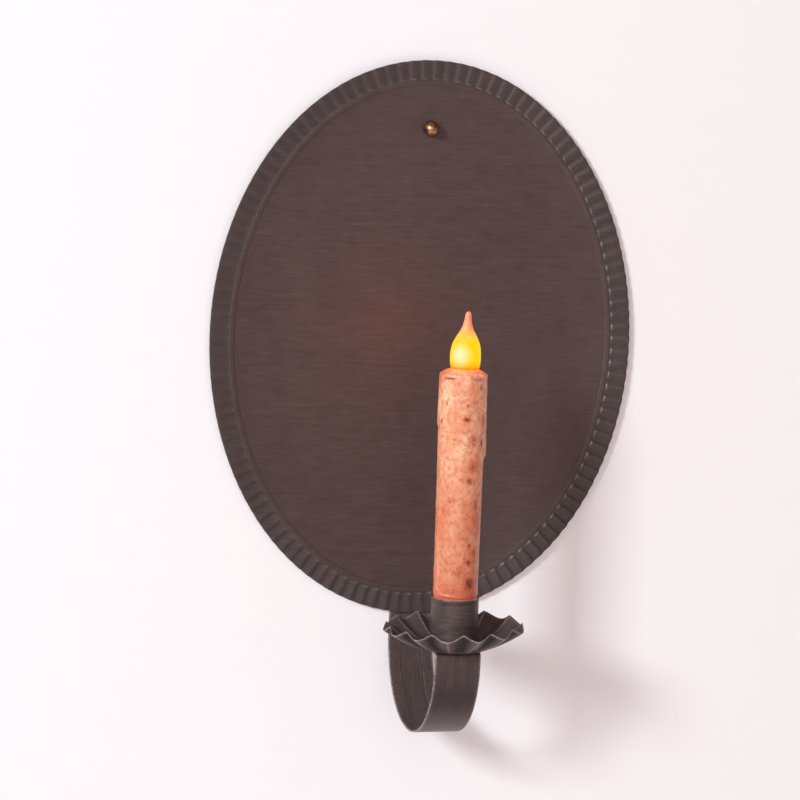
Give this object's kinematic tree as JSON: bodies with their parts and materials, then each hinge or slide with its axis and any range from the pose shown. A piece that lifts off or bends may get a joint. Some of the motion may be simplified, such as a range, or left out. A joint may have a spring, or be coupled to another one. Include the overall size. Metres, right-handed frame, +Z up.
{
  "type": "wall candle sconce",
  "caption": "Oval tin wall sconce with a crimped rim, hung on a brass-headed nail; a U strap carries a fluted drip pan and socket that hold a battery candle with a lit flame tip.",
  "frame": {"origin": "on the hanging nail's axis, at the wall's face", "axes": "+Z up along the plate, +Y into the wall along the nail, front faces -Y, +X to the right as seen from the front"},
  "size_m": [0.219, 0.1312, 0.3306],
  "materials": {
    "tin": "satin, brushed by hand",
    "solder": "satin, painted over with the sheet",
    "brass": "antiqued",
    "wax": "dipped wax, waxy sheen with ground spice in it",
    "ivory_plastic": "moulded",
    "flame": "translucent silicone, lit from within",
    "lamp_resin": "clear resin",
    "board": "solder mask",
    "chip": "moulded epoxy",
    "contact": "nickel plated",
    "battery_case": "plain sleeve",
    "dark_plastic": "moulded"
  },
  "bodies": {
    "wall_nail": {"hanging_nail": "brass"},
    "sconce": {"back_plate": "tin", "arm_strap": "tin", "drip_pan": "tin", "candle_socket": "tin", "arm_solder": "solder", "pan_solder": "solder"},
    "candle": {"wax_coat": "wax", "candle_tube": "ivory_plastic", "flame_tip": "flame", "flame_lamp": "lamp_resin", "circuit_board": "board", "driver_chip": "chip", "positive_contact": "contact", "battery_upper": "battery_case", "battery_lower": "battery_case", "negative_strip": "contact"},
    "cap": {"battery_cap": "ivory_plastic", "contact_spring": "contact"},
    "switch": {"switch_knob": "dark_plastic"}
  },
  "joints": [
    {"name": "swing_on_nail", "type": "hinge", "parent": "wall_nail", "child": "sconce", "pos_m": [0, 0, 0], "axis": [0, 1, 0], "range_deg": [-30, 30]},
    {"name": "candle_lift", "type": "slide", "parent": "sconce", "child": "candle", "axis": [0, 0, 1], "range_m": [0, 0.03]},
    {"name": "cap_twist", "type": "hinge", "parent": "candle", "child": "cap", "pos_m": [0, -0.0746, -0.2489], "axis": [0, 0, 1], "range_deg": [0, 30]},
    {"name": "switch_slide", "type": "slide", "parent": "cap", "child": "switch", "axis": [-1, 0, 0], "range_m": [0, 0.003]}
  ]
}
